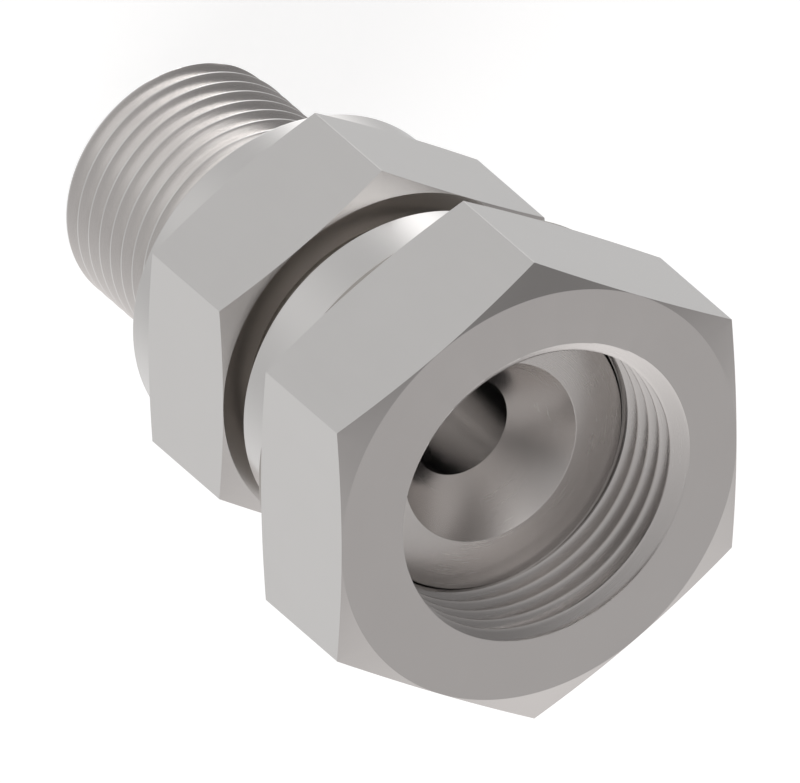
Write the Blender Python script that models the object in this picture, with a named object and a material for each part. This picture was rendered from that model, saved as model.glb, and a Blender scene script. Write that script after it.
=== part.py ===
# Straight adapter: a turned hexagon body with a male thread at one end
# and a captive swivel nut at the other, held by a split spring ring.
#
# The part stands on the end face of its male thread. +Z is the axis of
# the adapter and points to the open face of the swivel nut. The origin is
# the centre of the male end face. Corners of both hexagons point to +Y
# and -Y, so the spanner flats at +X and -X are parallel to the YZ plane.

import math

import bmesh
import bpy

MM = 0.001

# The spanner size of the nut sets the girth of the whole adapter: the
# thread bore, the stem and the hexagon of the body follow from it
NUT_ACROSS_FLATS = 26.99 * MM
NUT_FLAT_WALL = 4.145 * MM

# Running clearance and the gap between touching pieces
SWIVEL_CLEARANCE = 0.35 * MM
GROOVE_CLEARANCE = 0.30 * MM

# Male end
MALE_THREAD_DIAMETER = 15.80 * MM
MALE_THREAD_LENGTH = 12.35 * MM
MALE_THREAD_HEIGHT = 0.95 * MM
MALE_RELIEF_LENGTH = 1.30 * MM
MALE_EDGE_BREAK = 0.15 * MM
BORE_DIAMETER = 6.35 * MM
BORE_EDGE_BREAK = 0.30 * MM

# Hexagon of the body, with the turned collar behind it
BODY_SHOULDER = 2.1125 * MM
BODY_HEX_LENGTH = 8.83 * MM
BODY_COLLAR_LENGTH = 1.93 * MM

# Stem inside the nut, with the conical seat in its nose
STEM_LENGTH = 12.38 * MM
STEM_ROOT_FILLET = 0.40 * MM
NOSE_LAND = 3.16 * MM
NOSE_EDGE_BREAK = 0.10 * MM
SEAT_HALF_ANGLE = math.radians(37.0)

# Swivel nut
NUT_THREAD_LENGTH = 6.90 * MM
NUT_THREAD_HEIGHT = 0.95 * MM
NUT_RELIEF_LENGTH = 1.50 * MM
NUT_HEX_LENGTH = 9.54 * MM
NUT_WASHER_FACE = 0.32 * MM
NUT_COLLAR_WALL = 0.785 * MM
NUT_COLLAR_LENGTH = 6.25 * MM
NUT_REAR_GAP = 2.04 * MM
NUT_EDGE_BREAK = 0.15 * MM

# Split spring ring that keeps the nut on the stem
RING_WIRE_DIAMETER = 1.30 * MM
RING_OPENING = math.radians(24.0)

# Both hexagons are chamfered at this angle to their end faces, and the
# chamfer runs in to a circle just inside the flats
HEX_CHAMFER = math.radians(15.0)
HEX_CHAMFER_INSET = 0.05 * MM

# Smoothness of turned surfaces: a multiple of 12 puts a corner of the
# polygon on every corner and every mid flat of the hexagons
TURNING_STEPS = 72
FILLET_STEPS = 4
WIRE_SIDES = 12
RING_STEPS = 56
SHARP_ANGLE = math.radians(25.0)

# The cutter for the spanner flats reaches this much past the corners
CUTTER_OVERSIZE = 1.3

# Radii that follow from the sizes above
nut_flat_radius = NUT_ACROSS_FLATS / 2
nut_bore_radius = nut_flat_radius - NUT_FLAT_WALL
stem_radius = nut_bore_radius - SWIVEL_CLEARANCE
body_flat_radius = stem_radius + BODY_SHOULDER
bore_radius = BORE_DIAMETER / 2
male_radius = MALE_THREAD_DIAMETER / 2
seat_mouth_radius = stem_radius - NOSE_LAND
seat_depth = (seat_mouth_radius - bore_radius) / math.tan(SEAT_HALF_ANGLE)

# The ring sits half in the nut and half in the stem. The groove in the
# stem is deep enough to take the whole wire while the nut is pushed on.
wire_radius = RING_WIRE_DIAMETER / 2
ring_radius = (stem_radius + nut_bore_radius) / 2
groove_half_width = wire_radius + GROOVE_CLEARANCE
nut_groove_radius = ring_radius + wire_radius + GROOVE_CLEARANCE
stem_groove_radius = stem_radius - RING_WIRE_DIAMETER - GROOVE_CLEARANCE
nut_collar_radius = nut_groove_radius + NUT_COLLAR_WALL

# Heights along the axis, from the male end face upwards
male_relief_z = MALE_THREAD_LENGTH
collar_z = male_relief_z + MALE_RELIEF_LENGTH
body_hex_z = collar_z + BODY_COLLAR_LENGTH
shoulder_z = body_hex_z + BODY_HEX_LENGTH
nose_z = shoulder_z + STEM_LENGTH
nut_rear_z = shoulder_z + NUT_REAR_GAP
washer_face_z = nut_rear_z + NUT_COLLAR_LENGTH
nut_hex_z = washer_face_z + NUT_WASHER_FACE
nut_face_z = nut_hex_z + NUT_HEX_LENGTH
ring_z = nut_rear_z + NUT_COLLAR_LENGTH / 2


def clear_scene():
    """Remove whatever the opened file holds, such as the default cube."""
    for old in list(bpy.data.objects):
        bpy.data.objects.remove(old, do_unlink=True)


def steel(name, colour, roughness):
    """Plain machined steel for one sub-part."""
    material = bpy.data.materials.new(name)
    material.use_nodes = True
    shader = material.node_tree.nodes["Principled BSDF"]
    shader.inputs["Base Color"].default_value = (*colour, 1.0)
    shader.inputs["Metallic"].default_value = 1.0
    shader.inputs["Roughness"].default_value = roughness
    return material


def add_object(name, bm, material):
    """Turn a finished bmesh into a named, smooth shaded object."""
    bmesh.ops.recalc_face_normals(bm, faces=bm.faces)
    mesh = bpy.data.meshes.new(name)
    bm.to_mesh(mesh)
    bm.free()
    mesh.shade_smooth()
    mesh.set_sharp_from_angle(angle=SHARP_ANGLE)
    if material is not None:
        mesh.materials.append(material)
    part = bpy.data.objects.new(name, mesh)
    bpy.context.scene.collection.objects.link(part)
    return part


def arc(centre_r, centre_z, radius, start, end, steps):
    """Points of a circular arc in the (r, z) plane, angles in degrees."""
    points = []
    for step in range(steps + 1):
        angle = math.radians(start + (end - start) * step / steps)
        points.append((centre_r + radius * math.cos(angle), centre_z + radius * math.sin(angle)))
    return points


def corner_radius(flat_radius):
    """Radius to the corners of a hexagon, from the radius to its flats."""
    return flat_radius / math.cos(math.radians(30.0))


def chamfer_height(flat_radius):
    """Axial height of the conical chamfer at the corners of a hexagon."""
    inner = flat_radius - HEX_CHAMFER_INSET
    return (corner_radius(flat_radius) - inner) * math.tan(HEX_CHAMFER)


def turn(profile):
    """Spin a closed (r, z) outline round the Z axis, as a lathe would."""
    bm = bmesh.new()
    verts = [bm.verts.new((r, 0.0, z)) for r, z in profile]
    edges = [bm.edges.new((verts[i - 1], verts[i])) for i in range(len(verts))]
    bmesh.ops.spin(
        bm,
        geom=verts + edges,
        cent=(0.0, 0.0, 0.0),
        axis=(0.0, 0.0, 1.0),
        angle=math.tau,
        steps=TURNING_STEPS,
        use_merge=True,
    )
    bmesh.ops.remove_doubles(bm, verts=bm.verts, dist=1e-7)
    return bm


def mill_flats(part, flat_radius, low_z, high_z):
    """Cut six spanner flats with a cutter that has a hexagonal hole."""
    bm = bmesh.new()
    inner = corner_radius(flat_radius)
    outer = inner * CUTTER_OVERSIZE
    corners = [math.radians(90.0 + 60.0 * side) for side in range(6)]
    loops = []
    for radius, z in ((inner, low_z), (inner, high_z), (outer, high_z), (outer, low_z)):
        loops.append([bm.verts.new((radius * math.cos(a), radius * math.sin(a), z)) for a in corners])
    for loop, last_loop in zip(loops, loops[-1:] + loops[:-1]):
        for side in range(6):
            bm.faces.new((last_loop[side - 1], last_loop[side], loop[side], loop[side - 1]))
    cutter = add_object(part.name + "_flats_cutter", bm, None)
    cutter.hide_render = True
    cutter.display_type = "WIRE"
    milling = part.modifiers.new("Spanner flats", "BOOLEAN")
    milling.operation = "DIFFERENCE"
    milling.solver = "EXACT"
    milling.object = cutter


def make_body(material):
    """Male thread blank, collar, hexagon, stem and seat in one piece."""
    chamfer_radius = body_flat_radius - HEX_CHAMFER_INSET
    hex_corner = corner_radius(body_flat_radius)
    chamfer = chamfer_height(body_flat_radius)
    relief_radius = male_radius - MALE_THREAD_HEIGHT
    groove_low = ring_z - groove_half_width
    groove_high = ring_z + groove_half_width
    fillet = arc(
        stem_radius + STEM_ROOT_FILLET,
        shoulder_z + STEM_ROOT_FILLET,
        STEM_ROOT_FILLET,
        270.0,
        180.0,
        FILLET_STEPS,
    )
    outline = [
        (bore_radius + BORE_EDGE_BREAK, 0.0),
        (male_radius - MALE_EDGE_BREAK, 0.0),
        (male_radius, MALE_EDGE_BREAK),
        (male_radius, male_relief_z - MALE_THREAD_HEIGHT),
        (relief_radius, male_relief_z),
        (relief_radius, collar_z),
        (chamfer_radius, collar_z),
        (chamfer_radius, body_hex_z),
        (hex_corner, body_hex_z + chamfer),
        (hex_corner, shoulder_z - chamfer),
        (chamfer_radius, shoulder_z),
        *fillet,
        (stem_radius, groove_low),
        (stem_groove_radius, groove_low),
        (stem_groove_radius, groove_high),
        (stem_radius, groove_high),
        (stem_radius, nose_z - NOSE_EDGE_BREAK),
        (stem_radius - NOSE_EDGE_BREAK, nose_z),
        (seat_mouth_radius, nose_z),
        (bore_radius, nose_z - seat_depth),
        (bore_radius, BORE_EDGE_BREAK),
    ]
    body = add_object("body", turn(outline), material)
    mill_flats(body, body_flat_radius, body_hex_z - chamfer, shoulder_z + chamfer)
    return body


def make_swivel_nut(material):
    """Hexagon nut with a thin turned collar, which turns on the stem."""
    chamfer_radius = nut_flat_radius - HEX_CHAMFER_INSET
    hex_corner = corner_radius(nut_flat_radius)
    chamfer = chamfer_height(nut_flat_radius)
    relief_radius = nut_bore_radius + NUT_THREAD_HEIGHT
    relief_high = nut_face_z - NUT_THREAD_LENGTH
    relief_low = relief_high - NUT_RELIEF_LENGTH
    groove_low = ring_z - groove_half_width
    groove_high = ring_z + groove_half_width
    outline = [
        (nut_bore_radius + NUT_EDGE_BREAK, nut_rear_z),
        (nut_collar_radius, nut_rear_z),
        (nut_collar_radius, washer_face_z),
        (chamfer_radius - NUT_EDGE_BREAK, washer_face_z),
        (chamfer_radius, washer_face_z + NUT_EDGE_BREAK),
        (chamfer_radius, nut_hex_z),
        (hex_corner, nut_hex_z + chamfer),
        (hex_corner, nut_face_z - chamfer),
        (chamfer_radius, nut_face_z),
        (nut_bore_radius, nut_face_z),
        (nut_bore_radius, relief_high + NUT_THREAD_HEIGHT),
        (relief_radius, relief_high),
        (relief_radius, relief_low),
        (nut_bore_radius, relief_low - NUT_THREAD_HEIGHT),
        (nut_bore_radius, groove_high),
        (nut_groove_radius, groove_high),
        (nut_groove_radius, groove_low),
        (nut_bore_radius, groove_low),
        (nut_bore_radius, nut_rear_z + NUT_EDGE_BREAK),
    ]
    nut = add_object("swivel_nut", turn(outline), material)
    mill_flats(nut, nut_flat_radius, nut_hex_z - NUT_EDGE_BREAK, nut_face_z + chamfer)
    return nut


def make_spring_ring(material):
    """Round wire bent to an open ring, with square cut ends."""
    bm = bmesh.new()
    section = []
    for side in range(WIRE_SIDES):
        angle = math.tau * side / WIRE_SIDES
        r = ring_radius + wire_radius * math.cos(angle)
        section.append(bm.verts.new((r, 0.0, ring_z + wire_radius * math.sin(angle))))
    start_cap = bm.faces.new(section)
    bmesh.ops.spin(
        bm,
        geom=[start_cap],
        cent=(0.0, 0.0, 0.0),
        axis=(0.0, 0.0, 1.0),
        angle=math.tau - RING_OPENING,
        steps=RING_STEPS,
    )
    return add_object("spring_ring", bm, material)


def main():
    clear_scene()
    body_steel = steel("Turned steel body", (0.58, 0.57, 0.55), 0.32)
    nut_steel = steel("Turned steel nut", (0.58, 0.57, 0.55), 0.32)
    spring_steel = steel("Spring steel ring", (0.42, 0.41, 0.40), 0.40)
    make_body(body_steel)
    make_swivel_nut(nut_steel)
    make_spring_ring(spring_steel)


main()
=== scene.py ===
import math

import bmesh
import bpy
import numpy as np
from mathutils import Matrix, Vector


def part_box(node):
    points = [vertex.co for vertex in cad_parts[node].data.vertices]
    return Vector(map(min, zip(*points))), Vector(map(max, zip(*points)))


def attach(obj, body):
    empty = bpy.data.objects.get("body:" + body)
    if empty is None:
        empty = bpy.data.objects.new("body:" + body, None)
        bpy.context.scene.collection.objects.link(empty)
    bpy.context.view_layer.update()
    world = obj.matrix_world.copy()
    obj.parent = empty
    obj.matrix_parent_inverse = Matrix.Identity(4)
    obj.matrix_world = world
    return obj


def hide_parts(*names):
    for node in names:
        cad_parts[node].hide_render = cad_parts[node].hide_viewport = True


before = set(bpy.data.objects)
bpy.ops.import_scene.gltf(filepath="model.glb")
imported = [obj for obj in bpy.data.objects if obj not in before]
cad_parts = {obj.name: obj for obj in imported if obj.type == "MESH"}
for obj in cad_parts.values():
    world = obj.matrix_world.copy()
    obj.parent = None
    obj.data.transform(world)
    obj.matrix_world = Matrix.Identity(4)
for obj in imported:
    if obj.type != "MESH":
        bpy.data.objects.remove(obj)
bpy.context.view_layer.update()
print("CAD nodes:", ", ".join(sorted(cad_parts)))

# %% [markdown]
# # A straight adapter with a swivel nut, step by step
#
# The real object is two pieces of machined steel. The body is turned from
# hexagon bar: a male thread, a short collar, the hexagon, and a stem whose
# nose has a conical seat. The nut turns freely on the stem, and its inner
# thread draws the mating fitting against the seat.
#
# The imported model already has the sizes, the joint and the collision. It
# leaves out the threads, the small edge radii and the finish of the steel.
# This file adds those. Body and nut are each made again as one closed mesh,
# and the spring ring inside keeps its own shape and gets a better finish.

# %% Sizes, in metres
MM = 0.001

nut_low, nut_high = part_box("swivel_nut")
nut_flat = nut_high[0]
nut_face_z = nut_high[2]
nut_rear_z = nut_low[2]
nose_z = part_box("body")[1][2]
print("nut across flats in mm:", round(2 * nut_flat / MM, 2))
print("nut length in mm:", round((nut_face_z - nut_rear_z) / MM, 2))

# Body, from the male end upwards
male_radius = 7.90 * MM
male_root = 6.95 * MM
male_pitch = 1.285 * MM
male_thread_top = 12.35 * MM
collar_z = 13.65 * MM
body_hex_z = 15.58 * MM
shoulder_z = 24.41 * MM
body_flat = 11.1125 * MM
stem_radius = 9.0 * MM
stem_groove = 7.40 * MM
seat_radius = 5.84 * MM
bore_radius = 3.175 * MM
SEAT_HALF_ANGLE = 37.0
seat_bottom_z = nose_z - (seat_radius - bore_radius) / math.tan(math.radians(SEAT_HALF_ANGLE))

# Nut, from the rear upwards
nut_bore = 9.15 * MM
nut_crest = 9.31 * MM
nut_root = 10.35 * MM
nut_pitch = 1.262 * MM
nut_groove = 10.125 * MM
nut_collar = 10.91 * MM
washer_face_z = 32.70 * MM
nut_hex_z = 33.02 * MM
nut_thread_low = nose_z - 0.25 * MM

# Groove that the spring ring lies in, with the ring's play on both sides
ring_play = 0.30 * MM
ring_low, ring_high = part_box("spring_ring")
groove_low = ring_low[2] - ring_play
groove_high = ring_high[2] + ring_play

# Edges: radii, small chamfers, and how far the chamfer circles lie inside the flats
corner_rounding = 0.04 * MM
fine_edge = 0.05 * MM
washer_rim = 0.06 * MM
broken_edge = 0.10 * MM
inner_corner = 0.25 * MM
shoulder_corner = 0.40 * MM
bore_chamfer = 0.30 * MM
nut_bore_chamfer = 0.15 * MM
male_end_chamfer = 0.03 * MM
circle_inset = 0.01 * MM

# %% [markdown]
# ## Expressions that become nodes
#
# Node trees are easier to read as formulas. The class below holds one socket
# of a tree, and Python's own operators on it add Math nodes. Its method
# `node` adds any other node: the settings go in first, because some of them
# change which sockets a node has, and the values or links come after. The
# same class serves the geometry of the threads and the shaders of the steel.


# %% A wire through a node tree
class Wire:
    """One socket of a node tree, on which operators add Math nodes.

    A wire without a socket is a pen: it only adds nodes to its tree.
    """

    def __init__(self, tree, socket=None):
        self.tree = tree
        self.socket = socket

    def node(self, kind, settings, values, output=0):
        """Add a node with its settings, then its values or links, and return one output."""
        made = self.tree.nodes.new(kind)
        for name, setting in settings.items():
            setattr(made, name, setting)
        for name, value in values.items():
            if isinstance(value, Wire):
                self.tree.links.new(value.socket, made.inputs[name])
            else:
                made.inputs[name].default_value = value
        return Wire(self.tree, made.outputs[output])

    def maths(self, operation, *values):
        """Add one Math node that works on this wire and the values given."""
        numbered = dict(enumerate((self, *values)))
        return self.node("ShaderNodeMath", {"operation": operation}, numbered)

    def __add__(self, other):
        return self.maths("ADD", other)

    def __radd__(self, other):
        return self.maths("ADD", other)

    def __mul__(self, other):
        return self.maths("MULTIPLY", other)

    def __rmul__(self, other):
        return self.maths("MULTIPLY", other)

    def __sub__(self, other):
        return self.maths("SUBTRACT", other)

    def __rsub__(self, other):
        return self.node("ShaderNodeMath", {"operation": "SUBTRACT"}, {0: other, 1: self})

    def __truediv__(self, other):
        return self.maths("DIVIDE", other)

    def __pow__(self, other):
        return self.maths("POWER", other)


print("operators that add Math nodes: + - * / **")

# %% [markdown]
# ## The screw threads
#
# Both threads are straight and right-handed, with about 60 degrees between
# their flanks. On the real fitting the ridge climbs one pitch a turn, so no
# cross-section is quite round. A stack of rings would look nearly the same
# from afar, but the crest lines would not wind, and the end of the thread in
# the open face of the nut would be wrong.
#
# A thread follows a rule, which suits Geometry Nodes. A flat grid is rolled
# into a tube. Its rows climb with the helix, so that crests and roots lie
# exactly on rows of points, and the distance from the nearest crest gives
# the radius. Points past either end are held in the end plane, where Merge
# by Distance welds them, and a cone there lets the thread run in or out.


# %% Build the thread tree
WELD = 1e-6


def thread_tree():
    """Geometry Nodes for an inner or outer thread as an open tube."""
    tree = bpy.data.node_groups.new("Screw thread", "GeometryNodeTree")
    tree.interface.new_socket(name="Geometry", in_out="OUTPUT", socket_type="NodeSocketGeometry")
    for name, kind in (
        ("Columns", "NodeSocketInt"),
        ("Rows", "NodeSocketInt"),
        ("Rows per pitch", "NodeSocketInt"),
        ("First turn", "NodeSocketFloat"),
        ("Pitch", "NodeSocketFloat"),
        ("Crest start", "NodeSocketFloat"),
        ("Crest radius", "NodeSocketFloat"),
        ("Root radius", "NodeSocketFloat"),
        ("Crest flat", "NodeSocketFloat"),
        ("Root flat", "NodeSocketFloat"),
        ("Crest rounding", "NodeSocketFloat"),
        ("Root rounding", "NodeSocketFloat"),
        ("Low end", "NodeSocketFloat"),
        ("High end", "NodeSocketFloat"),
        ("Low radius", "NodeSocketFloat"),
        ("High radius", "NodeSocketFloat"),
        ("Side", "NodeSocketFloat"),
        ("Material", "NodeSocketMaterial"),
    ):
        tree.interface.new_socket(name=name, in_out="INPUT", socket_type=kind)
    entry = tree.nodes.new("NodeGroupInput")
    pen = Wire(tree)

    def given(name):
        return Wire(tree, entry.outputs[name])

    # The grid is one unit wide and high, so its position is two counters
    grid = pen.node(
        "GeometryNodeMeshGrid",
        {},
        {
            "Size X": 1.0,
            "Size Y": 1.0,
            "Vertices X": given("Columns") + 1,
            "Vertices Y": given("Rows"),
        },
    )
    place = pen.node("GeometryNodeInputPosition", {}, {})
    across = place.node("ShaderNodeSeparateXYZ", {}, {"Vector": place}, "X") + 0.5
    along = place.node("ShaderNodeSeparateXYZ", {}, {"Vector": place}, "Y") + 0.5
    turns = along * (given("Rows") - 1) / given("Rows per pitch") + given("First turn")

    # Height, held between the two ends
    free = given("Crest start") + given("Pitch") * (turns + across)
    height = free.maths("MAXIMUM", given("Low end")).maths("MINIMUM", given("High end"))

    # Distance from the nearest crest in pitches, from 0 on it to 0.5 in the root
    phase = (height - given("Crest start")) / given("Pitch") - across
    away = phase.maths("PINGPONG", 0.5)
    flank = 0.5 - given("Crest flat") / 2 - given("Root flat") / 2
    depth = (away - given("Crest flat") / 2) / flank
    depth = depth.maths("SMOOTH_MIN", 1.0, given("Root rounding"))
    depth = depth.maths("SMOOTH_MAX", 0.0, given("Crest rounding"))
    radius = given("Crest radius") + (given("Root radius") - given("Crest radius")) * depth

    # Cones at 45 degrees close the ends: Side is 1 outside and -1 inside
    signed = radius * given("Side")
    low_cone = given("Side") * given("Low radius") + (height - given("Low end"))
    high_cone = given("Side") * given("High radius") + (given("High end") - height)
    signed = signed.maths("MINIMUM", low_cone).maths("MINIMUM", high_cone)
    radius = signed * given("Side")

    angle = across * math.tau
    point = pen.node(
        "ShaderNodeCombineXYZ",
        {},
        {
            "X": radius * angle.maths("COSINE"),
            "Y": radius * angle.maths("SINE"),
            "Z": height,
        },
    )
    rolled = pen.node("GeometryNodeSetPosition", {}, {"Geometry": grid, "Position": point})
    welded = pen.node("GeometryNodeMergeByDistance", {}, {"Geometry": rolled, "Distance": WELD})
    real = pen.node("GeometryNodeRealizeInstances", {}, {"Geometry": welded})
    dressed = pen.node("GeometryNodeSetMaterial", {}, {"Geometry": real, "Material": given("Material")})
    leave = tree.nodes.new("NodeGroupOutput")
    tree.links.new(dressed.socket, leave.inputs["Geometry"])
    return tree


def set_inputs(modifier, tree, values):
    """Give a Geometry Nodes modifier its inputs by their identifiers."""
    for item in tree.interface.items_tree:
        if item.item_type == "SOCKET" and item.in_out == "INPUT":
            modifier[item.identifier] = values[item.name]


screw_tree = thread_tree()
print("thread tree:", len(screw_tree.nodes), "nodes")

# %% [markdown]
# ## Machined steel
#
# The finish is satin steel without colour: a light grey with a touch of
# warmth, fully metallic. What makes it look machined is the direction of the
# fine marks. A lathe leaves rings, so on turned faces the noise changes fast
# with radius and height and hardly at all round the axis. Drawn hexagon bar
# has faint lines along its length. The patterns are read in Object
# coordinates, so they stay on the piece from every side.


# %% Helpers for shaders
def new_material(name):
    """An empty Principled material and a pen for its tree."""
    material = bpy.data.materials.new(name)
    material.use_nodes = True
    shader = material.node_tree.nodes["Principled BSDF"]
    return material, shader, Wire(material.node_tree)


def mixed(pen, factor, first, second):
    """A colour between two colours, which are sockets 6 and 7 of the node. Output 2 is the mix."""
    settings = {"data_type": "RGBA", "blend_type": "MIX"}
    return pen.node("ShaderNodeMix", settings, {"Factor": factor, 6: first, 7: second}, 2)


def connect(shader, values):
    """Link wires to the sockets of a shader and set plain numbers on them."""
    for name, value in values.items():
        if isinstance(value, Wire):
            value.tree.links.new(value.socket, shader.inputs[name])
        else:
            shader.inputs[name].default_value = value


def places(pen):
    """Object coordinates, also as x, y and z, and as radius and turn round the axis."""
    vector = pen.node("ShaderNodeTexCoord", {}, {}, "Object")
    x, y, z = (pen.node("ShaderNodeSeparateXYZ", {}, {"Vector": vector}, axis) for axis in "XYZ")
    radius = (x * x + y * y).maths("SQRT")
    return {"vector": vector, "x": x, "y": y, "z": z, "radius": radius, "turn": y.maths("ARCTAN2", x)}


def noise(pen, where, scale, detail, roughness):
    """Noise that mostly lies between 0.3 and 0.7."""
    values = {"Vector": where, "Scale": scale, "Detail": detail, "Roughness": roughness}
    return pen.node("ShaderNodeTexNoise", {}, values, "Fac")


def scratched(pen, lines, height):
    """A normal that follows fine lines of the given height in metres."""
    values = {"Strength": 1.0, "Distance": height, "Height": lines}
    return pen.node("ShaderNodeBump", {}, values, "Normal")


print("helpers for shaders are ready")

# %% [markdown]
# ## The finishes of one steel
#
# One steel has several finishes on such a fitting. The seat and the land round it
# are lapped, so that they seal, and their colour is painted lighter: painted light
# in the hollow of the nose. A rolled thread is pressed smooth, and its colour is
# painted a little lighter, as a painted highlight in its valleys. The thread in the
# nut is cut, and duller. The stem, the bore of the nut that turns on it and the rim
# of the nut's washer face are painted dark: painted shade in the gap between body
# and nut. Only the colour, the roughness and the marks differ, so one function
# makes them all. End faces can have a roughness of their own, because the tool
# crosses them at another speed.

# %% Steel finishes
# Marks in a metre across their run, and along it in a metre of bar or a radian of turn
BAR_LINES, BAR_RUN = 9000, 160
LATHE_LINES, LATHE_RUN = 14000, 0.6
CLOUDS = 260.0

# How much the marks and the clouds add to the roughness, and about half of both
LINE_ROUGHNESS, CLOUD_ROUGHNESS = 0.04, 0.03
MIDDLE_ROUGHNESS = 0.03


def steel(name, marks, colours, roughness, faced_roughness, mark_height):
    """Satin machined steel with turned or drawn marks. Faces across the axis are rougher."""
    material, shader, pen = new_material(name)
    at = places(pen)
    if marks == "drawn":
        run = {"X": at["x"] * BAR_LINES, "Y": at["y"] * BAR_LINES, "Z": at["z"] * BAR_RUN}
    else:
        run = {"X": at["radius"] * LATHE_LINES, "Y": at["z"] * LATHE_LINES, "Z": at["turn"] * LATHE_RUN}
    lines = noise(pen, pen.node("ShaderNodeCombineXYZ", {}, run), 1.0, 3.0, 0.6)
    clouds = noise(pen, at["vector"], CLOUDS, 4.0, 0.55)

    # A face counts as across the axis when its normal is within 60 degrees of it
    normal = pen.node("ShaderNodeTexCoord", {}, {}, "Normal")
    upright = pen.node("ShaderNodeSeparateXYZ", {}, {"Vector": normal}, "Z").maths("ABSOLUTE")
    faced = upright.maths("GREATER_THAN", 0.5)
    even = faced * (faced_roughness - roughness) + (roughness - MIDDLE_ROUGHNESS)
    connect(
        shader,
        {
            "Base Color": mixed(pen, lines * 0.5 + clouds * 0.5, *colours),
            "Metallic": 1.0,
            "Roughness": even + lines * LINE_ROUGHNESS + clouds * CLOUD_ROUGHNESS,
            "Normal": scratched(pen, lines, mark_height),
        },
    )
    return material


# Each colour is a pair that the marks and the clouds mix, darker first
BRIGHT = ((0.738, 0.720, 0.708, 1.0), (0.798, 0.780, 0.768, 1.0))
# The thread's pair is painted a little lighter than the plain steel: a painted highlight for the
# valleys of the thread
ROLLED_AND_PAINTED_LIGHTER = ((0.765, 0.746, 0.733, 1.0), (0.825, 0.806, 0.793, 1.0))
# The seat's pair is painted lighter still: painted light in the hollow of the nose
LAPPED_AND_PAINTED_LIGHTER = ((0.830, 0.806, 0.790, 1.0), (0.890, 0.866, 0.850, 1.0))
# The dark pair is painted shade for the gap between body and nut and for the rim of the nut's washer
# face
SHADE_COLOURS = ((0.430, 0.402, 0.376, 1.0), (0.530, 0.500, 0.470, 1.0))

# After the colour: roughness, roughness of faces across the axis, height of the marks
turned_steel = steel("Turned steel", "turned", BRIGHT, 0.21, 0.25, 0.4e-6)
drawn_steel = steel("Drawn hexagon steel", "drawn", BRIGHT, 0.22, 0.22, 0.4e-6)
# Rolled thread: smoother, and painted lighter for its highlights
rolled_steel_painted_lighter = steel("Rolled thread steel, painted lighter", "turned", ROLLED_AND_PAINTED_LIGHTER, 0.23, 0.25, 0.3e-6)
cut_steel = steel("Cut thread steel", "turned", BRIGHT, 0.24, 0.26, 0.3e-6)
# Painted shade: a dark copy of the steel for the gap and the washer rim
painted_shade_steel = steel("Steel painted dark as shade in the gap", "turned", SHADE_COLOURS, 0.30, 0.40, 0.4e-6)
# Lapped seat: smoother, and painted lighter as light in the hollow of the nose
lapped_steel_painted_lighter = steel("Lapped seat steel, painted lighter", "turned", LAPPED_AND_PAINTED_LIGHTER, 0.20, 0.26, 0.2e-6)
FINISHES = (turned_steel, drawn_steel, rolled_steel_painted_lighter, cut_steel, painted_shade_steel, lapped_steel_painted_lighter)
TURNED, FLATS, THREAD_PAINTED_LIGHTER, CUT_THREAD, PAINTED_SHADE, SEAT = range(6)
print("finishes:", ", ".join(material.name for material in FINISHES))

# %% [markdown]
# ## Rows of points round the axis
#
# A turned piece is a stack of rings, and a milled hexagon is a stack of
# outlines with six rounded corners. If every ring and every outline has the
# same number of points, neighbouring rows simply join with four-sided faces,
# and no cut is needed. The chamfer of a hexagon comes out by itself: each
# point of the outline lies on a cone at the height that its radius gives,
# so the edge between chamfer and flat is the curve of the real one.

# %% Rings, fillets and hexagon outlines
COLUMNS = 192
SIDE_COLUMNS = COLUMNS // 6
CORNER_STEPS = 2
HALF_SIDE = math.radians(30.0)
HEX_CHAMFER = math.radians(15.0)


def ring(radius, z):
    """One round row."""
    angles = np.arange(COLUMNS) * math.tau / COLUMNS
    return np.stack([radius * np.cos(angles), radius * np.sin(angles), np.full(COLUMNS, z)], axis=1)


def fillet(corner, radius, sides, start, end, steps=4):
    """Round rows along an arc that replaces a corner in the (r, z) plane.

    sides says to which side of the corner the centre lies, in r and in z.
    The arc runs from start to end, in degrees.
    """
    centre_r = corner[0] + sides[0] * radius
    centre_z = corner[1] + sides[1] * radius
    angles = np.radians(np.linspace(start, end, steps + 1))
    return [ring(centre_r + radius * math.cos(a), centre_z + radius * math.sin(a)) for a in angles]


def hexagon_outline(flat_radius, rounding):
    """Hexagon with rounded corners, a flat on +X, one point for each column."""
    middle = SIDE_COLUMNS // 2
    flat_columns = middle - CORNER_STEPS
    half_side = (flat_radius - rounding) * math.tan(HALF_SIDE)
    corner_centre = (flat_radius - rounding) / math.cos(HALF_SIDE)
    points = []
    for index in range(COLUMNS):
        side = (index + middle) // SIDE_COLUMNS
        column = index - side * SIDE_COLUMNS
        facing = math.radians(60.0 * side)
        if abs(column) <= flat_columns:
            along = half_side * column / flat_columns
            points.append((
                flat_radius * math.cos(facing) - along * math.sin(facing),
                flat_radius * math.sin(facing) + along * math.cos(facing),
            ))
            continue
        corner = facing + math.copysign(HALF_SIDE, column)
        from_corner = column - math.copysign(middle, column)
        turned = corner + HALF_SIDE * from_corner / CORNER_STEPS
        points.append((
            corner_centre * math.cos(corner) + rounding * math.cos(turned),
            corner_centre * math.sin(corner) + rounding * math.sin(turned),
        ))
    return np.array(points)


def hexagon_row(outline, end_radius, end_z, direction):
    """The outline laid on the cone of a chamfer that starts at a circle."""
    beyond = np.hypot(outline[:, 0], outline[:, 1]) - end_radius
    heights = end_z + direction * beyond * math.tan(HEX_CHAMFER)
    return np.column_stack([outline, heights])


body_outline = hexagon_outline(body_flat, corner_rounding)
nut_outline = hexagon_outline(nut_flat, corner_rounding)
print("points in each row:", len(body_outline))

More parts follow.
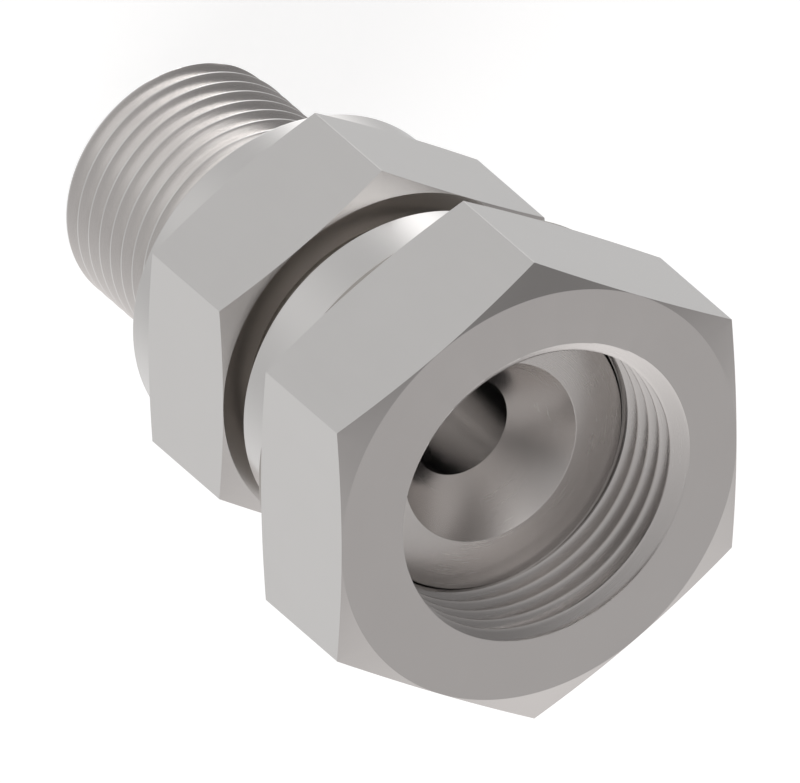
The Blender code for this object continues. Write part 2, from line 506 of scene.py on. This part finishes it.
# %% [markdown]
# ## A thread as a plain mesh
#
# The tree runs as a modifier on an empty object. The evaluated result is
# copied to a plain mesh, because only plain meshes can be joined to the
# rows. The number of rows follows from the length of the thread, so a longer
# thread is as finely divided as a short one.

# %% Thread mesh
THREAD_ROWS = 24


def make_thread(name, sizes):
    """Evaluate the thread tree and return its result as a plain mesh."""
    holder = bpy.data.objects.new(name, bpy.data.meshes.new(name))
    bpy.context.scene.collection.objects.link(holder)
    modifier = holder.modifiers.new("Thread", "NODES")
    modifier.node_group = screw_tree
    first_turn = math.floor((sizes["Low end"] - sizes["Crest start"]) / sizes["Pitch"]) - 1
    turns = math.ceil((sizes["High end"] - sizes["Crest start"]) / sizes["Pitch"]) - first_turn
    counts = {
        "Columns": COLUMNS,
        "Rows": turns * THREAD_ROWS + 1,
        "Rows per pitch": THREAD_ROWS,
        "First turn": float(first_turn),
        "Material": turned_steel,
    }
    set_inputs(modifier, screw_tree, {**sizes, **counts})
    evaluated = holder.evaluated_get(bpy.context.evaluated_depsgraph_get())
    mesh = bpy.data.meshes.new_from_object(evaluated)
    bpy.data.objects.remove(holder, do_unlink=True)
    print(name, "has", len(mesh.polygons), "faces")
    return mesh


print("rows of points in each pitch of thread:", THREAD_ROWS)

# %% [markdown]
# ## From rows to one closed steel piece
#
# The rows of the turned form start at one end of the thread and go round
# the whole section to its other end. The thread tube is added between them.
# Its two end loops are sorted by angle and joined to the first and the last
# row, column by column, so the piece is one closed surface as the steel is.
#
# The rows come in sections, and each section has the finish of the faces
# that start at its rows. Edges that turn by more than 28 degrees are shaded
# sharp, and so are the circles at which the chamfers of a hexagon start.

# %% Join the rows and the thread
SHARP = math.radians(28.0)
SHARP_ON_CIRCLE = math.radians(5.0)
SAME_ANGLE = 1e-4


def angle_of(vert):
    """Angle of a point round the axis, from 0 to a full turn."""
    return math.atan2(vert.co.y, vert.co.x) % math.tau


def end_loop(bm, z):
    """The open edge of the thread tube at one height, sorted by angle."""
    loop = {vert for edge in bm.edges if edge.is_boundary for vert in edge.verts}
    loop = [vert for vert in loop if abs(vert.co.z - z) < WELD]
    loop.sort(key=angle_of)

    # Rounding can put the point on +X just below a full turn, at the end of the list
    if math.tau - angle_of(loop[-1]) < SAME_ANGLE:
        loop.insert(0, loop.pop())
    return loop


def make_piece(name, sections, thread, thread_finish, first_z, last_z):
    """Close the sections with the thread, whose ends lie at first_z and last_z."""
    rows = [row for finish, section in sections for row in section]
    finishes = [finish for finish, section in sections for row in section]
    bm = bmesh.new()
    bm.from_mesh(thread)
    for face in bm.faces:
        face.material_index = thread_finish
    loops = [[bm.verts.new(point) for point in row] for row in rows]
    flats = finishes.index(FLATS)
    circles = {*loops[flats - 1], *loops[flats + 2]}
    loops.insert(0, end_loop(bm, first_z))
    loops.append(end_loop(bm, last_z))
    for finish, low, high in zip([TURNED, *finishes], loops, loops[1:]):
        for column in range(COLUMNS):
            face = bm.faces.new((low[column - 1], low[column], high[column], high[column - 1]))
            face.material_index = finish
    bmesh.ops.recalc_face_normals(bm, faces=bm.faces)
    for edge in bm.edges:
        on_circle = edge.verts[0] in circles and edge.verts[1] in circles
        edge.smooth = edge.calc_face_angle(0.0) < (SHARP_ON_CIRCLE if on_circle else SHARP)
    open_edges = sum(1 for edge in bm.edges if not edge.is_manifold)
    volume = bm.calc_volume(signed=True)
    mesh = bpy.data.meshes.new(name)
    bm.to_mesh(mesh)
    bm.free()
    for face in mesh.polygons:
        face.use_smooth = True
    for material in FINISHES:
        mesh.materials.append(material)
    piece = bpy.data.objects.new(name, mesh)
    bpy.context.scene.collection.objects.link(piece)
    weigh = piece.modifiers.new("Keep flats flat", "WEIGHTED_NORMAL")
    weigh.keep_sharp = True
    print(name, "has", len(mesh.polygons), "faces and", open_edges, "open edges")
    print(name, "volume in cm3:", round(1e6 * volume, 3))
    return piece


print("edges turn sharp from", round(math.degrees(SHARP)), "degrees")

# %% [markdown]
# ## The body
#
# The male thread starts at the end face, and runs out into a relief in
# front of the collar. The nose carries a flat land and a 37 degree seat,
# which meets the cone of the mating pipe. Nearly every outer edge has the
# small radius that deburring leaves, because a steel edge shows as a fine
# line of light.

# %% Make the body
male_first_crest = 0.02 * MM + male_pitch / 4
male_thread = make_thread("Male thread", {
    "Pitch": male_pitch,
    "Crest start": male_first_crest,
    "Crest radius": male_radius,
    "Root radius": male_root,
    "Crest flat": 0.10,
    "Root flat": 0.08,
    "Crest rounding": 0.05,
    "Root rounding": 0.35,
    "Low end": 0.0,
    "High end": male_thread_top,
    "Low radius": male_radius - male_end_chamfer,
    "High radius": male_root,
    "Side": 1.0,
})
body_circle = body_flat - circle_inset
nose_edge = fillet((stem_radius, nose_z), broken_edge, (-1, -1), 0, 90)
seat_edge = fillet((seat_radius, nose_z), fine_edge, (1, -1), 90, 180 - SEAT_HALF_ANGLE, 3)
body_sections = [
    (TURNED, [
        *fillet((male_root, collar_z), inner_corner, (1, -1), 180, 90),
        *fillet((body_circle, collar_z), broken_edge, (-1, 1), -90, 0),
        ring(body_circle, body_hex_z),
    ]),
    (FLATS, [hexagon_row(body_outline, body_circle, body_hex_z, 1)]),
    (TURNED, [
        hexagon_row(body_outline, body_circle, shoulder_z, -1),
        ring(body_circle, shoulder_z),
    ]),
    # Painted shade: the fillet and the stem under the nut are dark
    (PAINTED_SHADE, [
        *fillet((stem_radius, shoulder_z), shoulder_corner, (1, 1), 270, 180),
        ring(stem_radius, groove_low),
    ]),
    (TURNED, [
        ring(stem_groove, groove_low),
        ring(stem_groove, groove_high),
        ring(stem_radius, groove_high),
        *nose_edge[:3],
    ]),
    # Painted light: the land and the seat are lighter than the plain steel
    (SEAT, [*nose_edge[3:], *seat_edge]),
    (TURNED, [
        ring(bore_radius, seat_bottom_z),
        ring(bore_radius, bore_chamfer),
        ring(bore_radius + bore_chamfer, 0.0),
    ]),
]
# The thread gets the copy of the steel that is painted lighter for its highlights
body_piece = make_piece("body_steel", body_sections, male_thread, THREAD_PAINTED_LIGHTER, male_thread_top, 0.0)
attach(body_piece, "adapter_body")
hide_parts("body")

# %% [markdown]
# ## The swivel nut
#
# The nut's thread runs out through its open face without a countersink, so
# the opening shows the section of the thread and not a circle. Behind the
# hexagon there is a thin washer face with a rounded rim, then the turned
# collar that holds the spring ring.

# %% Make the nut
nut_last_crest = nut_face_z - 0.03 * MM
nut_thread = make_thread("Nut thread", {
    "Pitch": nut_pitch,
    "Crest start": nut_last_crest,
    "Crest radius": nut_crest,
    "Root radius": nut_root,
    "Crest flat": 0.11,
    "Root flat": 0.05,
    "Crest rounding": 0.05,
    "Root rounding": 0.30,
    "Low end": nut_thread_low,
    "High end": nut_face_z,
    "Low radius": nut_crest,
    "High radius": nut_crest,
    "Side": -1.0,
})
nut_circle = nut_flat - circle_inset
rim = fillet((nut_circle, washer_face_z), washer_rim, (-1, 1), 0, -90)
rear_edge = fillet((nut_collar, nut_rear_z), fine_edge, (-1, 1), 0, -90)
nut_sections = [
    (TURNED, [ring(nut_circle, nut_face_z)]),
    (FLATS, [hexagon_row(nut_outline, nut_circle, nut_face_z, -1)]),
    (TURNED, [hexagon_row(nut_outline, nut_circle, nut_hex_z, 1)]),
    # Painted shade: the rim of the washer face is dark, a thin shadow line behind the hexagon
    (PAINTED_SHADE, [ring(nut_circle, nut_hex_z), *rim[:-1]]),
    (TURNED, [
        rim[-1],
        *fillet((nut_collar, washer_face_z), inner_corner, (1, -1), 90, 180),
        *rear_edge[:-1],
    ]),
    # Painted shade: the rear edge, the bore and the groove of the nut are dark
    (PAINTED_SHADE, [
        rear_edge[-1],
        ring(nut_bore + nut_bore_chamfer, nut_rear_z),
        ring(nut_bore, nut_rear_z + nut_bore_chamfer),
        ring(nut_bore, groove_low),
        ring(nut_groove, groove_low),
        ring(nut_groove, groove_high),
    ]),
    (TURNED, [
        ring(nut_bore, groove_high),
        ring(nut_bore, nut_thread_low),
    ]),
]
nut_piece = make_piece(
    "swivel_nut_steel", nut_sections, nut_thread, CUT_THREAD, nut_face_z, nut_thread_low
)
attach(nut_piece, "swivel")
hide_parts("swivel_nut")

# %% [markdown]
# ## The spring ring
#
# The ring lies inside its groove, where nobody sees it before the nut is
# taken off. Its shape in the model is right as it is, so only its finish
# changes: oiled spring steel, darker than the fitting, with drawing lines
# along the wire.


# %% Spring steel
WIRE_LINES, WIRE_RUN = 9000, 3
WIRE_DARK = (0.30, 0.29, 0.28, 1.0)
WIRE_LIGHT = (0.44, 0.43, 0.41, 1.0)
WIRE_MARK_HEIGHT = 1e-6


def spring_steel():
    """Dark oiled wire with fine lines along it."""
    material, shader, pen = new_material("Oiled spring steel")
    at = places(pen)
    run = {"X": at["radius"] * WIRE_LINES, "Y": at["z"] * WIRE_LINES, "Z": at["turn"] * WIRE_RUN}
    lines = noise(pen, pen.node("ShaderNodeCombineXYZ", {}, run), 1.0, 3.0, 0.5)
    connect(
        shader,
        {
            "Base Color": mixed(pen, lines, WIRE_DARK, WIRE_LIGHT),
            "Metallic": 1.0,
            "Roughness": 0.30 + lines * 0.15,
            "Normal": scratched(pen, lines, WIRE_MARK_HEIGHT),
        },
    )
    return material


wire_finish = spring_steel()
ring_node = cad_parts["spring_ring"]
ring_node.data.materials.clear()
ring_node.data.materials.append(wire_finish)
print("spring ring finish:", ring_node.material_slots[0].material.name)

# %% [markdown]
# ## The floor
#
# The adapter stands on the end of its male thread on a plain pale floor.
# The camera sees the floor as white, because it glows for the camera alone.
# Its own grey still takes a shadow, so the object doesn't float. The steel
# doesn't mirror the floor.


# %% Floor
FLOOR_HALF = 0.6
FLOOR_GAP = 0.02 * MM
FLOOR_GREY = (0.45, 0.45, 0.45, 1.0)
FLOOR_GLOW = (0.74, 0.74, 0.74, 1.0)
NO_GLOW = (0.0, 0.0, 0.0, 1.0)


def make_floor():
    """Pale plane that shows as white to the camera and keeps the shadow."""
    bm = bmesh.new()
    sides = ((-1, -1), (1, -1), (1, 1), (-1, 1))
    bm.faces.new([bm.verts.new((x * FLOOR_HALF, y * FLOOR_HALF, -FLOOR_GAP)) for x, y in sides])
    mesh = bpy.data.meshes.new("Floor")
    bm.to_mesh(mesh)
    bm.free()
    material, shader, pen = new_material("Pale floor")
    seen = pen.node("ShaderNodeLightPath", {}, {}, "Is Camera Ray")
    connect(
        shader,
        {
            "Base Color": FLOOR_GREY,
            "Roughness": 1.0,
            "Specular IOR Level": 0.0,
            "Emission Color": mixed(pen, seen, NO_GLOW, FLOOR_GLOW),
            "Emission Strength": 1.0,
        },
    )
    mesh.materials.append(material)
    floor = bpy.data.objects.new("Floor", mesh)
    bpy.context.scene.collection.objects.link(floor)
    floor.visible_glossy = False


make_floor()
print("floor half width in metres:", FLOOR_HALF)

# %% [markdown]
# ## The studio light
#
# Polished metal has no brightness of its own: it shows the room. A white
# room would make this steel white and flat, but the photograph shows it as
# mid grey with soft light bands. So the world here is a grey studio, darker
# overhead, with soft panels. Each panel is a power of the cosine of the
# angle to its middle: a high power gives a small panel, a low one a broad
# glow. The row of panels just above the horizon is what the valleys of the
# thread mirror from flank to flank. It is narrow in height, so that the
# upright flats don't flash white when the part is seen from another side.
#
# The camera sees the world as white. A lamp that the steel doesn't mirror
# gives the floor its soft shadow.


# %% Studio light
def direction(azimuth, elevation):
    """Unit vector towards a place in the studio, angles in degrees."""
    a = math.radians(azimuth)
    e = math.radians(elevation)
    return (math.cos(e) * math.cos(a), math.cos(e) * math.sin(a), math.sin(e))


# Each soft panel: azimuth, elevation, how tight it is, and how much it adds
PANELS = (
    (-60.0, 2.0, 60.0, 1.20),
    (-78.0, 4.0, 60.0, 3.00),
    (-96.0, 4.0, 60.0, 3.30),
    (-114.0, 4.0, 60.0, 3.30),
    (-132.0, 4.0, 60.0, 3.10),
    (-150.0, 4.0, 60.0, 2.20),
    (-135.0, -63.0, 50.0, 1.10),
    (-39.0, -19.0, 11.0, 0.58),
    (94.0, 6.0, 1.5, 0.60),
    (4.0, 2.0, 21.0, 0.36),
    (-14.0, 61.0, 4.6, 0.31),
    (-94.0, 33.0, 6.5, 0.32),
    (-140.0, -50.0, 40.0, 0.65),
    (-165.0, -62.0, 60.0, 1.10),
)

# Brightness straight down and straight up, and the colour of each half
LEVEL_DOWN, LEVEL_UP = 0.63, 0.08
UPPER_HALF = (1.030, 1.000, 0.990, 1.0)
LOWER_HALF = (1.0, 1.0, 1.0, 1.0)


def make_world():
    """White to the camera, and a soft studio to the steel."""
    world = bpy.data.worlds.new("Soft studio")
    world.use_nodes = True
    bpy.context.scene.world = world
    pen = Wire(world.node_tree)
    look = pen.node("ShaderNodeTexCoord", {}, {}, "Generated")
    upward = pen.node("ShaderNodeSeparateXYZ", {}, {"Vector": look}, "Z") * 0.5 + 0.5
    level = LEVEL_DOWN + upward * (LEVEL_UP - LEVEL_DOWN)
    for azimuth, elevation, tightness, amount in PANELS:
        ends = {0: look, 1: direction(azimuth, elevation)}
        facing = pen.node("ShaderNodeVectorMath", {"operation": "DOT_PRODUCT"}, ends, "Value")
        level = level + facing.maths("MAXIMUM", 0.0) ** tightness * amount
    seen = pen.node("ShaderNodeLightPath", {}, {}, "Is Camera Ray")
    upper = upward.maths("GREATER_THAN", 0.5) * (1 - seen)
    background = world.node_tree.nodes["Background"]
    connect(
        background,
        {
            "Color": mixed(pen, upper, LOWER_HALF, UPPER_HALF),
            "Strength": seen + (1 - seen) * level,
        },
    )


LAMP_WIDTH = 0.5
LAMP_WATTS = 1.2
LAMP_DISTANCE = 0.6
LAMP_DIRECTION = (40.0, 60.0)


def make_lamp():
    """Soft round lamp for the shadow on the floor."""
    light = bpy.data.lights.new("Soft key", "AREA")
    light.shape = "DISK"
    light.size = LAMP_WIDTH
    light.energy = LAMP_WATTS
    lamp = bpy.data.objects.new("Soft key", light)
    bpy.context.scene.collection.objects.link(lamp)
    lamp.location = Vector(direction(*LAMP_DIRECTION)) * LAMP_DISTANCE
    lamp.rotation_euler = lamp.location.to_track_quat("Z", "Y").to_euler()
    lamp.visible_glossy = False


make_world()
make_lamp()
print("soft panels:", len(PANELS))

# %% [markdown]
# ## The camera
#
# The camera looks down on the part in parallel view, because both hexagons
# of the photograph have the same shape and scale along the axis. It is
# rolled, so that the axis runs from the upper left to the lower right.

# %% Camera
PICTURE_WIDTH = 800
PIXELS_PER_METRE = 16900.0
CAMERA_DISTANCE = 0.3
image_right = Vector((-math.sqrt(3.0) / 2, 0.0, 0.5))
image_up = Vector((-0.25, -math.sqrt(3.0) / 2, -math.sqrt(3.0) / 4))
towards_camera = image_right.cross(image_up)

# Where the centre of the nut's open face lies from the middle of the picture, in pixels
FACE_RIGHT = 139.13
FACE_DOWN = 103.10

face_centre = Vector((0.0, 0.0, nut_face_z))
shift = image_up * (FACE_DOWN / PIXELS_PER_METRE) - image_right * (FACE_RIGHT / PIXELS_PER_METRE)
camera_data = bpy.data.cameras.new("Camera")
camera_data.type = "ORTHO"
camera_data.ortho_scale = PICTURE_WIDTH / PIXELS_PER_METRE
camera = bpy.data.objects.new("Camera", camera_data)
bpy.context.scene.collection.objects.link(camera)
camera_place = face_centre + shift + CAMERA_DISTANCE * towards_camera
axes = Matrix((image_right, image_up, towards_camera)).transposed()
camera.matrix_world = Matrix.Translation(camera_place) @ axes.to_4x4()
bpy.context.scene.camera = camera
bpy.context.scene.view_settings.view_transform = "Standard"
print("camera looks along", [round(-value, 3) for value in towards_camera])
